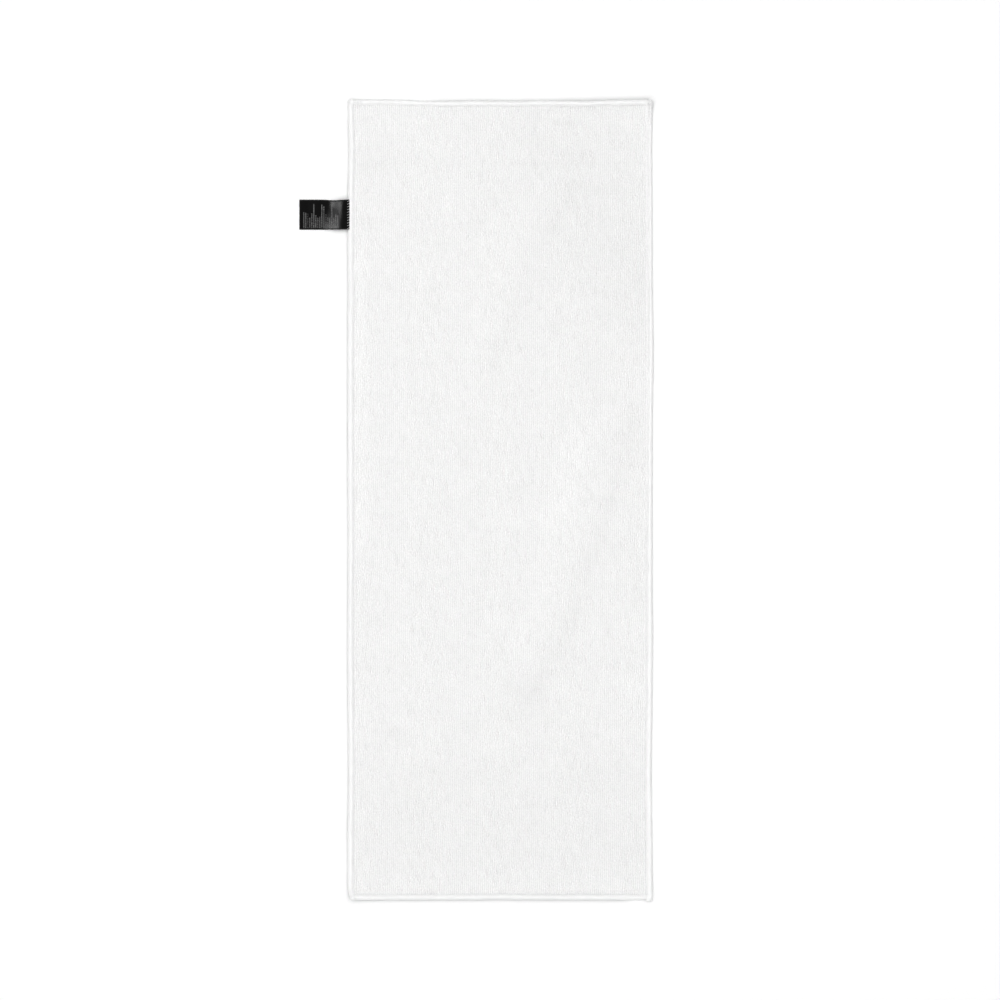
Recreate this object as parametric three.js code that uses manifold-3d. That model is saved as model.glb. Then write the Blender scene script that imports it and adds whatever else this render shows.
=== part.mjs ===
// A golf towel with a sewn-on satin care label, lying flat on its front face with its pile side up.
// Frame: millimetres, +Z up, +Y along the towel's length, the label on the -X edge,
// origin at the centre of the underside.

import * as THREE from "three";
import { mergeVertices } from "three/addons/utils/BufferGeometryUtils.js";
import Module from "manifold-3d";

const wasm = await Module();
wasm.setup();

// ---- Driving dimensions -------------------------------------------------------------------------

const TOWEL_WIDTH = 380;
const TOWEL_LENGTH = 1000;
const TERRY_THICKNESS = 2.4;
const CORNER_RADIUS = 4;

const HEM_WIDTH = 6.2;
const HEM_HEIGHT = 3.4; // the cloth turned over on itself and pressed
const HEM_EDGE_RADIUS = 1.5;
const HEM_INNER_CHAMFER = 0.3;

const THREAD_WIDTH = 0.6;
const THREAD_HEIGHT = 0.4;
const STITCH_INSET = 1.4; // from the hem's inner edge to the middle of the seam
const THREAD_END_INSET = 5;

const LABEL_WIDTH = 37; // along Y
const LABEL_REACH = 60; // from the towel's edge to the label's free end
const LABEL_CENTRE_Y = 355;
const RIBBON_THICKNESS = 0.5; // the folded ribbon's two layers
const TAIL_WIDTH = 2.2; // what lies on the hem and is sewn down
const DROOP_LENGTH = 24; // the label comes down from the hem to the table over this length
const LABEL_CLEARANCE = 0.7; // between the sewn end and the moving leaf, for the hinge

const GAP = 0.3; // between pieces that touch on the real towel

const ARC_SEGMENTS = 6;
const DROOP_STEPS = 12;
const CHAMFERED_CORNER = 0.18; // share of a thread's section taken off at each corner

const HALF_WIDTH = TOWEL_WIDTH / 2;
const HALF_LENGTH = TOWEL_LENGTH / 2;

// ---- Finishes -----------------------------------------------------------------------------------

const FINISHES = {
  terry: { color: 0xf1f0ee, roughness: 0.96, metalness: 0 },
  hem: { color: 0xf7f7f6, roughness: 0.85, metalness: 0 },
  thread: { color: 0xf4f4f2, roughness: 0.6, metalness: 0 },
  satin: { color: 0x0d0d0e, roughness: 0.38, metalness: 0 },
  labelThread: { color: 0xb9b9b9, roughness: 0.6, metalness: 0 },
};

const towel = new THREE.Group();

function addPiece(name, geometry, finish) {
  const material = new THREE.MeshStandardMaterial(FINISHES[finish]);
  const mesh = new THREE.Mesh(geometry, material);
  mesh.name = name;
  towel.add(mesh);
  return mesh;
}

// ---- Solid helpers ------------------------------------------------------------------------------

// Extrudes a closed outline, drawn in its own x and y, by the given depth along +Z.
function extrude(shape, depth) {
  return new THREE.ExtrudeGeometry(shape, {
    depth,
    bevelEnabled: false,
    curveSegments: ARC_SEGMENTS,
    steps: 1,
  });
}

function toSolid(geometry) {
  const bare = geometry.index ? geometry.toNonIndexed() : geometry.clone();
  bare.deleteAttribute("normal");
  bare.deleteAttribute("uv");
  const merged = mergeVertices(bare, 1e-4);
  return new wasm.Manifold(
    new wasm.Mesh({
      numProp: 3,
      vertProperties: new Float32Array(merged.attributes.position.array),
      triVerts: new Uint32Array(merged.index.array),
    }),
  );
}

function toGeometry(solid) {
  const mesh = solid.getMesh();
  const positions = new Float32Array(mesh.numVert * 3);
  for (let i = 0; i < mesh.numVert; i += 1) {
    const start = i * mesh.numProp;
    positions.set(mesh.vertProperties.subarray(start, start + 3), i * 3);
  }
  return new THREE.BufferGeometry()
    .setAttribute("position", new THREE.BufferAttribute(positions, 3))
    .setIndex(new THREE.BufferAttribute(new Uint32Array(mesh.triVerts), 1));
}

function roundedRectangle(width, length, radius) {
  const x = width / 2;
  const y = length / 2;
  const shape = new THREE.Shape();
  shape.moveTo(-x + radius, -y);
  shape.lineTo(x - radius, -y);
  shape.absarc(x - radius, -y + radius, radius, -Math.PI / 2, 0, false);
  shape.lineTo(x, y - radius);
  shape.absarc(x - radius, y - radius, radius, 0, Math.PI / 2, false);
  shape.lineTo(-x + radius, y);
  shape.absarc(-x + radius, y - radius, radius, Math.PI / 2, Math.PI, false);
  shape.lineTo(-x, -y + radius);
  shape.absarc(-x + radius, -y + radius, radius, Math.PI, 1.5 * Math.PI, false);
  return shape;
}

// ---- Terry panel --------------------------------------------------------------------------------

function terryPanel() {
  const width = TOWEL_WIDTH - 2 * (HEM_WIDTH + GAP);
  const length = TOWEL_LENGTH - 2 * (HEM_WIDTH + GAP);
  return extrude(roundedRectangle(width, length, GAP), TERRY_THICKNESS);
}

addPiece("terry_panel", terryPanel(), "terry");

// ---- Hems ---------------------------------------------------------------------------------------

// The hem's section: x runs inwards from the towel's outer edge, y is the height.
// A groove in each face takes the seam's thread, which sinks into the cloth.
function hemSection() {
  const seam = HEM_WIDTH - STITCH_INSET;
  const halfGroove = THREAD_WIDTH / 2 + GAP;
  const grooveDepth = THREAD_HEIGHT + GAP;
  const r = HEM_EDGE_RADIUS;
  const shape = new THREE.Shape();
  shape.moveTo(r, 0);
  shape.lineTo(seam - halfGroove, 0);
  shape.lineTo(seam - halfGroove, grooveDepth);
  shape.lineTo(seam + halfGroove, grooveDepth);
  shape.lineTo(seam + halfGroove, 0);
  shape.lineTo(HEM_WIDTH, 0);
  shape.lineTo(HEM_WIDTH, HEM_HEIGHT - HEM_INNER_CHAMFER);
  shape.lineTo(HEM_WIDTH - HEM_INNER_CHAMFER, HEM_HEIGHT);
  shape.lineTo(seam + halfGroove, HEM_HEIGHT);
  shape.lineTo(seam + halfGroove, HEM_HEIGHT - grooveDepth);
  shape.lineTo(seam - halfGroove, HEM_HEIGHT - grooveDepth);
  shape.lineTo(seam - halfGroove, HEM_HEIGHT);
  shape.lineTo(r, HEM_HEIGHT);
  shape.absarc(r, HEM_HEIGHT - r, r, Math.PI / 2, Math.PI, false);
  shape.lineTo(0, r);
  shape.absarc(r, r, r, Math.PI, 1.5 * Math.PI, false);
  return shape;
}

// Extrudes a hem's section along +Y from its middle, with the outer edge at x = 0 and the hem on +X.
function straightHem(length) {
  return extrude(hemSection(), length)
    .rotateX(Math.PI / 2)
    .translate(0, length / 2, 0);
}

// The two long sides are turned over last, so their hems run the whole length and take the corners.
const outline = toSolid(
  extrude(roundedRectangle(TOWEL_WIDTH, TOWEL_LENGTH, CORNER_RADIUS), HEM_HEIGHT),
);

function sideHem(side) {
  const hem = straightHem(TOWEL_LENGTH).translate(-HALF_WIDTH, 0, 0);
  if (side === "right") hem.rotateZ(Math.PI);
  return toGeometry(toSolid(hem).intersect(outline));
}

function endHem(end) {
  const length = TOWEL_WIDTH - 2 * (HEM_WIDTH + GAP);
  const hem = straightHem(length).translate(-HALF_LENGTH, 0, 0);
  return hem.rotateZ(end === "top" ? -Math.PI / 2 : Math.PI / 2);
}

addPiece("left_hem", sideHem("left"), "hem");
addPiece("right_hem", sideHem("right"), "hem");
addPiece("top_hem", endHem("top"), "hem");
addPiece("bottom_hem", endHem("bottom"), "hem");

// ---- Seam threads -------------------------------------------------------------------------------

// A thread's flattened section, centred on x, from y = 0 up.
function threadSection(width, height) {
  const x = width / 2;
  const cx = width * CHAMFERED_CORNER;
  const cy = height * CHAMFERED_CORNER;
  const shape = new THREE.Shape();
  shape.moveTo(-x + cx, 0);
  shape.lineTo(x - cx, 0);
  shape.lineTo(x, cy);
  shape.lineTo(x, height - cy);
  shape.lineTo(x - cx, height);
  shape.lineTo(-x + cx, height);
  shape.lineTo(-x, height - cy);
  shape.lineTo(-x, cy);
  return shape;
}

// One straight thread along +Y, centred on the seam line, with its lower side at the given height.
function straightThread(length, seamX, height) {
  return extrude(threadSection(THREAD_WIDTH, THREAD_HEIGHT), length)
    .rotateX(Math.PI / 2)
    .translate(seamX, length / 2, height);
}

// Each hem is sewn with a lockstitch: a needle thread on the pile side and a bobbin thread below.
const SEAMS = {
  left: { edge: HALF_WIDTH, length: TOWEL_LENGTH - 2 * THREAD_END_INSET, turn: 0 },
  right: { edge: HALF_WIDTH, length: TOWEL_LENGTH - 2 * THREAD_END_INSET, turn: Math.PI },
  top: { edge: HALF_LENGTH, length: TOWEL_WIDTH - 4 * HEM_WIDTH, turn: -Math.PI / 2 },
  bottom: { edge: HALF_LENGTH, length: TOWEL_WIDTH - 4 * HEM_WIDTH, turn: Math.PI / 2 },
};

for (const [side, seam] of Object.entries(SEAMS)) {
  const seamX = -seam.edge + HEM_WIDTH - STITCH_INSET;
  const needle = straightThread(seam.length, seamX, HEM_HEIGHT - THREAD_HEIGHT);
  const bobbin = straightThread(seam.length, seamX, 0);
  addPiece(side + "_needle_thread", needle.rotateZ(seam.turn), "thread");
  addPiece(side + "_bobbin_thread", bobbin.rotateZ(seam.turn), "thread");
}

// ---- Care label ---------------------------------------------------------------------------------

// The label's section is drawn with x from the towel's left edge outwards, negative over the hem.
const TAIL_BOTTOM = HEM_HEIGHT + GAP;
const LEAF_START = LABEL_CLEARANCE;

// Height of the leaf's underside at a distance from the towel's edge.
function leafUnderside(x) {
  const t = Math.min((x - LEAF_START) / DROOP_LENGTH, 1);
  return TAIL_BOTTOM * (1 - t * t * (3 - 2 * t));
}

// The label is one ribbon. Its sewn end stays with the towel, and the rest folds at the towel's edge.
function labelTail() {
  const shape = new THREE.Shape();
  shape.moveTo(-TAIL_WIDTH, TAIL_BOTTOM);
  shape.lineTo(0, TAIL_BOTTOM);
  shape.lineTo(0, TAIL_BOTTOM + RIBBON_THICKNESS);
  shape.lineTo(-TAIL_WIDTH, TAIL_BOTTOM + RIBBON_THICKNESS);
  return placeLabelPiece(shape, LABEL_WIDTH);
}

function labelLeaf() {
  const stations = [];
  for (let i = 0; i <= DROOP_STEPS; i += 1) {
    stations.push(LEAF_START + (DROOP_LENGTH * i) / DROOP_STEPS);
  }
  stations.push(LABEL_REACH);
  const lower = stations.map((x) => new THREE.Vector2(x, leafUnderside(x)));
  const upper = stations.map((x) => new THREE.Vector2(x, leafUnderside(x) + RIBBON_THICKNESS));
  return placeLabelPiece(new THREE.Shape([...lower, ...upper.reverse()]), LABEL_WIDTH);
}

// The thread that sews the label down runs along the sewn end's inner edge.
function labelThread() {
  const shape = threadSection(THREAD_WIDTH, RIBBON_THICKNESS);
  const outlinePoints = shape.getPoints().map(
    (p) => new THREE.Vector2(p.x - TAIL_WIDTH - GAP - THREAD_WIDTH / 2, p.y + TAIL_BOTTOM),
  );
  return placeLabelPiece(new THREE.Shape(outlinePoints), LABEL_WIDTH);
}

// Turns a section drawn outwards from the edge into a solid on the towel's left side.
function placeLabelPiece(section, width) {
  return extrude(section, width)
    .rotateX(Math.PI / 2)
    .rotateZ(Math.PI)
    .translate(-HALF_WIDTH, LABEL_CENTRE_Y - width / 2, 0);
}

addPiece("care_label_tail", labelTail(), "satin");
addPiece("care_label_leaf", labelLeaf(), "satin");
addPiece("label_stitches", labelThread(), "labelThread");

export default towel;
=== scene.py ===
"""A white golf towel lying on its front: ribbed terry back, four sewn hems and a satin care label.

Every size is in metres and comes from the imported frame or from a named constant. The cloth is drawn flat
first, in a true rectangle, and ClothForm then lays every part of it on the table in the same way, so that
the pieces stay joined.
"""

import logging
import math
from dataclasses import dataclass, field
from enum import Enum

import bpy
import numpy as np
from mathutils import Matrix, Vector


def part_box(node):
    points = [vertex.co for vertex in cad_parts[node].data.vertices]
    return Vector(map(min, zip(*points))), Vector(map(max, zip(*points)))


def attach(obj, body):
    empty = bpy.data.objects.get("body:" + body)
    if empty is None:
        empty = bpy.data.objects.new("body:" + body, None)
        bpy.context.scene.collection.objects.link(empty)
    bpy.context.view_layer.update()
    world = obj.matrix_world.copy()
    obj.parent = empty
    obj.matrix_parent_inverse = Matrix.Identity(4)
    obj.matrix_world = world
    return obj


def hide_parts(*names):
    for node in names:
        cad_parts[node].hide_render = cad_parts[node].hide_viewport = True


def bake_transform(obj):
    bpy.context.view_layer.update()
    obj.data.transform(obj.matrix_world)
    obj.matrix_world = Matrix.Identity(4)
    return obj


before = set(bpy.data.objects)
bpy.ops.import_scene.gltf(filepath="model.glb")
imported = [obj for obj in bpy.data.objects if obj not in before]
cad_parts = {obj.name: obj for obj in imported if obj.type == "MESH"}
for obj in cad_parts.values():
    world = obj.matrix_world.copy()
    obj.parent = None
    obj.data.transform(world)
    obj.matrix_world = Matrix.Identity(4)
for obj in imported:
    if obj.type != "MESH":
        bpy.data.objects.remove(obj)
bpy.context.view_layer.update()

LOG = logging.getLogger("golf_towel")
MM = 0.001
TURN = 2 * math.pi

RIB_PITCH = 2.53 * MM
RIB_DEPTH = 0.62 * MM
RIB_STEPS = 4
STITCH_PITCH = 3.03 * MM
SEAM_INSET = 1.4 * MM
HEM_MOUTH = 4.2 * MM

Colour = tuple[float, float, float, float]
Point = tuple[float, float]
Sockets = dict[str, bpy.types.NodeSocket]


class Body(Enum):
    """The two bodies of the frame."""

    TOWEL = "towel"
    LABEL = "care_label"


class Slot(Enum):
    """The material slots."""

    TERRY = "terry"
    HEM = "hem_cloth"
    SEAM = "seam_thread"
    SATIN = "label_satin"
    LABEL_THREAD = "label_thread"


class Edge(Enum):
    """The four edges of the towel. The value starts the names of the pieces on that edge."""

    LEFT = "left"
    RIGHT = "right"
    TOP = "top"
    BOTTOM = "bottom"

    @property
    def is_side(self) -> bool:
        """True for the two long edges."""
        return self in (Edge.LEFT, Edge.RIGHT)

    @property
    def sign(self) -> int:
        """-1 on the edges at the low end of their axis, 1 on the others."""
        return -1 if self in (Edge.LEFT, Edge.BOTTOM) else 1


class Layer(Enum):
    """The two threads of a lockstitch: the needle's on the towel's back and the bobbin's on its front."""

    NEEDLE = "needle"
    BOBBIN = "bobbin"


# Shader helpers and the effects that the finishes share


class Canvas:
    """Adds and links the nodes of one tree."""

    def __init__(self, tree: bpy.types.NodeTree) -> None:
        """Keeps the tree that the nodes go into.

        Args:
            tree: a material's or a group's node tree.
        """
        self.tree = tree

    def feed(self, socket: bpy.types.NodeSocket, value: object) -> None:
        """Links a socket to an input, or sets the input to a plain value.

        Args:
            socket: the input.
            value: another node's output, or the input's own value.
        """
        if isinstance(value, bpy.types.NodeSocket):
            self.tree.links.new(value, socket)
        else:
            socket.default_value = value

    def add(self, kind: str, inputs: dict | None = None, **settings: object) -> bpy.types.Node:
        """Adds one node.

        Args:
            kind: the node's type.
            inputs: what each input gets, by its name or number.
            **settings: properties of the node.

        Returns:
            The new node.
        """
        node = self.tree.nodes.new(kind)
        for name, value in settings.items():
            setattr(node, name, value)
        for name, value in (inputs or {}).items():
            self.feed(node.inputs[name], value)
        return node

    def math(self, operation: str, *values: object) -> bpy.types.NodeSocket:
        """Adds a Math node and returns its output.

        Args:
            operation: the name of the operation.
            *values: sockets or numbers, in order.

        Returns:
            The result's socket.
        """
        return self.add("ShaderNodeMath", dict(enumerate(values)), operation=operation).outputs[0]

    def stretch(self, vector: object, x: object, y: object, z: object) -> bpy.types.NodeSocket:
        """Multiplies a place by a number along each axis.

        Args:
            vector: the place.
            x: the factor along X, a number or a socket.
            y: the factor along Y.
            z: the factor along Z.

        Returns:
            The stretched place.
        """
        factor = self.add("ShaderNodeCombineXYZ", {"X": x, "Y": y, "Z": z}).outputs[0]
        return self.add("ShaderNodeVectorMath", {0: vector, 1: factor}, operation="MULTIPLY").outputs[0]

    def noise(self, vector: object, detail: float = 2.0, roughness: float = 0.5) -> bpy.types.NodeSocket:
        """Returns noise with cells one unit across, from 0 to 1 with a mean of one half."""
        inputs = {"Vector": vector, "Scale": 1.0, "Detail": detail, "Roughness": roughness}
        return self.add("ShaderNodeTexNoise", inputs).outputs[0]

    def around_one(self, value: object, contrast: object) -> bpy.types.NodeSocket:
        """Turns a value whose mean is one half into a factor whose mean is 1."""
        swing = self.math("SUBTRACT", value, 0.5)
        return self.math("MULTIPLY_ADD", swing, contrast, 1.0)

    def mix(self, factor: object, first: object, second: object) -> bpy.types.NodeSocket:
        """Mixes two colours.

        Args:
            factor: 0 for the first colour, 1 for the second.
            first: a colour or its socket.
            second: a colour or its socket.

        Returns:
            The mixed colour.
        """
        node = self.add("ShaderNodeMix", data_type="RGBA")
        self.feed(node.inputs[0], factor)
        self.feed(node.inputs[6], first)
        self.feed(node.inputs[7], second)
        return node.outputs[2]

    def shade(self, colour: object, factor: object) -> bpy.types.NodeSocket:
        """Multiplies a colour by a factor."""
        node = self.add("ShaderNodeMix", data_type="RGBA", blend_type="MULTIPLY")
        for socket, value in ((0, 1.0), (6, colour), (7, factor)):
            self.feed(node.inputs[socket], value)
        return node.outputs[2]

    def mark(self, name: str) -> bpy.types.NodeSocket:
        """Returns a mesh attribute's value."""
        return self.add("ShaderNodeAttribute", attribute_name=name).outputs["Fac"]


class Effect:
    """A shader node group that is built once and placed in every material that wants it."""

    name = ""
    takes: dict[str, tuple[str, object]] = {}
    gives: tuple[str, ...] = ()

    def draw(self, canvas: Canvas, given: Sockets) -> Sockets:
        """Draws the group's inside.

        Args:
            canvas: the group's own canvas.
            given: the group's inputs by name.

        Returns:
            The group's outputs by name.
        """
        raise NotImplementedError

    def tree(self) -> bpy.types.NodeTree:
        """Returns the group's tree, and builds it on the first call."""
        found = bpy.data.node_groups.get(self.name)
        if found is not None:
            return found
        tree = bpy.data.node_groups.new(self.name, "ShaderNodeTree")
        for label, (kind, value) in self.takes.items():
            socket = tree.interface.new_socket(name=label, in_out="INPUT", socket_type=kind)
            if value is not None:
                socket.default_value = value
        for label in self.gives:
            tree.interface.new_socket(name=label, in_out="OUTPUT", socket_type="NodeSocketFloat")
        start = tree.nodes.new("NodeGroupInput")
        end = tree.nodes.new("NodeGroupOutput")
        canvas = Canvas(tree)
        for label, socket in self.draw(canvas, {s.name: s for s in start.outputs if s.name}).items():
            canvas.feed(end.inputs[label], socket)
        return tree

    def place(self, canvas: Canvas, **given: object) -> Sockets:
        """Places the group in a tree.

        Args:
            canvas: the canvas of the material.
            **given: the group's inputs by name, with underscores for spaces.

        Returns:
            The group's outputs by name.
        """
        node = canvas.add("ShaderNodeGroup", node_tree=self.tree())
        for label, value in given.items():
            canvas.feed(node.inputs[label.replace("_", " ")], value)
        return {s.name: s for s in node.outputs}


FLOAT = "NodeSocketFloat"
VECTOR = "NodeSocketVector"


class FibreFuzz(Effect):
    """Short loose cotton fibres: fine noise, drawn out along the yarn."""

    name = "FibreFuzz"
    takes = {"Place": (VECTOR, None), "Fibre Width": (FLOAT, 0.2 * MM), "Fibre Length": (FLOAT, 0.9 * MM)}
    gives = ("Height", "Tone")

    def draw(self, canvas: Canvas, given: Sockets) -> Sockets:
        """Draws two crossing sets of fibres."""
        across = canvas.math("DIVIDE", 1.0, given["Fibre Width"])
        along = canvas.math("DIVIDE", 1.0, given["Fibre Length"])
        lengthwise = canvas.noise(canvas.stretch(given["Place"], across, along, across), 3.0, 0.6)
        crosswise = canvas.noise(canvas.stretch(given["Place"], along, across, across), 3.0, 0.6)
        height = canvas.math("MAXIMUM", lengthwise, crosswise)
        return {"Height": height, "Tone": canvas.math("SUBTRACT", height, 0.1)}


class SoftClouds(Effect):
    """Slow changes of tone over a surface, such as wear, dust and pile that leans one way or the other."""

    name = "SoftClouds"
    takes = {"Place": (VECTOR, None), "Size": (FLOAT, 60 * MM), "Contrast": (FLOAT, 0.04)}
    gives = ("Tone",)

    def draw(self, canvas: Canvas, given: Sockets) -> Sockets:
        """Draws one layer of broad noise as a factor around 1."""
        scale = canvas.math("DIVIDE", 1.0, given["Size"])
        clouds = canvas.noise(canvas.stretch(given["Place"], scale, scale, scale), 2.0, 0.45)
        return {"Tone": canvas.around_one(clouds, given["Contrast"])}


class LoopPile(Effect):
    """Terry loops: soft cells in rows along the rib, with painted shade in the gaps between the loops,
    mottled where they lean together.
    """

    name = "LoopPile"
    takes = {
        "Place": (VECTOR, None),
        "Loop Width": (FLOAT, RIB_PITCH / 2),
        "Loop Length": (FLOAT, 1.7 * MM),
        "Mottle Length": (FLOAT, 1.8 * MM),
        "Contrast": (FLOAT, 0.12),
    }
    gives = ("Height", "Tone")

    def draw(self, canvas: Canvas, given: Sockets) -> Sockets:
        """Draws the loops as rounded cells and the mottle as streaks one loop wide."""
        across = canvas.math("DIVIDE", 1.0, given["Loop Width"])
        along = canvas.math("DIVIDE", 1.0, given["Loop Length"])
        streak = canvas.math("DIVIDE", 1.0, given["Mottle Length"])
        cells = canvas.stretch(given["Place"], across, along, across)
        inputs = {"Vector": cells, "Scale": 1.0, "Randomness": 0.8}
        gaps = canvas.add("ShaderNodeTexVoronoi", inputs, feature="SMOOTH_F1").outputs["Distance"]
        loops = canvas.math("SUBTRACT", 1.0, gaps)
        mottle = canvas.noise(canvas.stretch(given["Place"], across, streak, across), 1.0, 0.5)
        # Tone: painted shade in the gaps between the loops, and random mottle.
        blend = canvas.math("MULTIPLY_ADD", loops, 0.35, canvas.math("MULTIPLY", mottle, 0.65))
        return {"Height": loops, "Tone": canvas.around_one(blend, given["Contrast"])}


class PlyTwist(Effect):
    """The slanted plies of a twisted thread, read along a map whose U is the run and V goes once round."""

    name = "PlyTwist"
    takes = {"Run": (VECTOR, None), "Ply Pitch": (FLOAT, 0.6 * MM)}
    gives = ("Height", "Tone")

    def draw(self, canvas: Canvas, given: Sockets) -> Sockets:
        """Draws one rounded ridge for each ply, with painted shade between them."""
        parts = canvas.add("ShaderNodeSeparateXYZ", {0: given["Run"]})
        along = canvas.math("DIVIDE", parts.outputs[0], given["Ply Pitch"])
        turn = canvas.math("ADD", along, canvas.math("MULTIPLY", parts.outputs[1], 2.0))
        ridge = canvas.math("ABSOLUTE", canvas.math("SINE", canvas.math("MULTIPLY", turn, math.pi)))
        # Tone: painted shade in the hollows between the plies, lighter on their crowns.
        return {"Height": ridge, "Tone": canvas.math("MULTIPLY_ADD", ridge, 0.2, 0.85)}


class WovenGrid(Effect):
    """A close weave: warp and weft yarns that pass over each other, read along a map in metres."""

    name = "WovenGrid"
    takes = {"Run": (VECTOR, None), "Warp": (FLOAT, 0.3 * MM), "Weft": (FLOAT, 0.3 * MM)}
    gives = ("Height",)

    def draw(self, canvas: Canvas, given: Sockets) -> Sockets:
        """Draws the yarns' crowns as the higher of two shifted waves."""
        parts = canvas.add("ShaderNodeSeparateXYZ", {0: given["Run"]})
        first = canvas.math("MULTIPLY", canvas.math("DIVIDE", parts.outputs[0], given["Warp"]), math.pi)
        second = canvas.math("MULTIPLY", canvas.math("DIVIDE", parts.outputs[1], given["Weft"]), math.pi)
        warp = canvas.math("MULTIPLY", canvas.math("SINE", first), canvas.math("COSINE", second))
        return {"Height": canvas.math("ABSOLUTE", warp)}


class PrintRows(Effect):
    """Rows of plain dashes that stand for small print. They hold no letters or figures."""

    name = "PrintRows"
    takes = {
        "Run": (VECTOR, None),
        "Reach": (FLOAT, 0.0),
        "Row Pitch": (FLOAT, 2.5 * MM),
        "Dash": (FLOAT, 0.5 * MM),
        "Margin": (FLOAT, 1.7 * MM),
    }
    gives = ("Mask",)

    def draw(self, canvas: Canvas, given: Sockets) -> Sockets:
        """Draws dashes of uneven length within each row, from the margin to the row's own reach."""
        parts = canvas.add("ShaderNodeSeparateXYZ", {0: given["Run"]})
        row = canvas.math("DIVIDE", parts.outputs[0], given["Row Pitch"])
        middle = canvas.math("ABSOLUTE", canvas.math("SUBTRACT", canvas.math("FRACT", row), 0.5))
        in_row = canvas.math("LESS_THAN", middle, 0.3)
        number = canvas.math("FLOOR", row)
        step = canvas.math("DIVIDE", parts.outputs[1], given["Dash"])
        place = canvas.add("ShaderNodeCombineXYZ", {"X": number, "Y": step}).outputs[0]
        far = canvas.add("ShaderNodeCombineXYZ", {"X": canvas.math("MULTIPLY", number, 5.3)}).outputs[0]
        density = canvas.math("MULTIPLY_ADD", canvas.noise(far, 0.0), -0.35, 0.63)
        dashes = canvas.math("GREATER_THAN", canvas.noise(place, 0.0), density)
        above = canvas.math("GREATER_THAN", parts.outputs[1], given["Margin"])
        below = canvas.math("LESS_THAN", parts.outputs[1], given["Reach"])
        inside = canvas.math("MULTIPLY", canvas.math("MULTIPLY", above, below), in_row)
        return {"Mask": canvas.math("MULTIPLY", inside, dashes)}


FIBRE_FUZZ = FibreFuzz()
SOFT_CLOUDS = SoftClouds()
LOOP_PILE = LoopPile()
PLY_TWIST = PlyTwist()
WOVEN_GRID = WovenGrid()
PRINT_ROWS = PrintRows()


@dataclass(frozen=True)
class Surface:
    """The constants of one Principled surface."""

    roughness: float = 0.9
    specular: float = 0.3
    sheen: float = 0.0
    sheen_roughness: float = 0.5
    anisotropic: float = 0.0

    def open(self, name: str) -> tuple[bpy.types.Material, Canvas, bpy.types.Node]:
        """Makes a material with these constants set.

        Args:
            name: the material's name.

        Returns:
            The material, the canvas of its tree and its Principled node.
        """
        material = bpy.data.materials.new(name)
        material.use_nodes = True
        shader = material.node_tree.nodes["Principled BSDF"]
        shader.inputs["Roughness"].default_value = self.roughness
        shader.inputs["Specular IOR Level"].default_value = self.specular
        shader.inputs["Sheen Weight"].default_value = self.sheen
        shader.inputs["Sheen Roughness"].default_value = self.sheen_roughness
        shader.inputs["Anisotropic"].default_value = self.anisotropic
        return material, Canvas(material.node_tree), shader


def raise_relief(
    canvas: Canvas, shader: bpy.types.Node, height: object, depth: float, strength: float
) -> None:
    """Gives a shader a bump.

    Args:
        canvas: the material's canvas.
        shader: the Principled node.
        height: the relief, from 0 to 1.
        depth: what 1 stands for, in metres.
        strength: how much of it shows.
    """
    inputs = {"Height": height, "Distance": depth, "Strength": strength}
    canvas.feed(shader.inputs["Normal"], canvas.add("ShaderNodeBump", inputs).outputs[0])


@dataclass(frozen=True)
class TerryFinish:
    """White cotton loop pile, with painted shade between its ribs."""

    crest: Colour = (0.871, 0.871, 0.871, 1.0)
    painted_groove_shade: Colour = (0.795, 0.795, 0.795, 1.0)
    surface: Surface = Surface(roughness=0.95, specular=0.15, sheen=0.15)

    def material(self) -> bpy.types.Material:
        """Makes the material. It reads the marks groove_shade_height and nap from the mesh."""
        material, canvas, shader = self.surface.open("terry_loop_pile")
        place = canvas.add("ShaderNodeTexCoord").outputs["Object"]
        loops = LOOP_PILE.place(canvas, Place=place, Contrast=0.25)
        fuzz = FIBRE_FUZZ.place(canvas, Place=place)
        clouds = SOFT_CLOUDS.place(canvas, Place=place, Size=45 * MM, Contrast=0.02)
        # Painted shade: the pile's colour is darker in the grooves between the ribs, by how high in its rib
        # each point is.
        colour = canvas.mix(canvas.mark("groove_shade_height"), self.painted_groove_shade, self.crest)
        tone = canvas.math("MULTIPLY", loops["Tone"], clouds["Tone"])
        # The mark nap paints shade and light of the folds and creases into the pile's colour, partly the
        # pile's lay.
        tone = canvas.math("MULTIPLY", tone, canvas.mark("nap_and_fold_shade"))
        canvas.feed(shader.inputs["Base Color"], canvas.shade(colour, tone))
        height = canvas.math("MULTIPLY_ADD", fuzz["Height"], 0.3, loops["Height"])
        raise_relief(canvas, shader, height, 0.35 * MM, 0.7)
        return material


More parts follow.
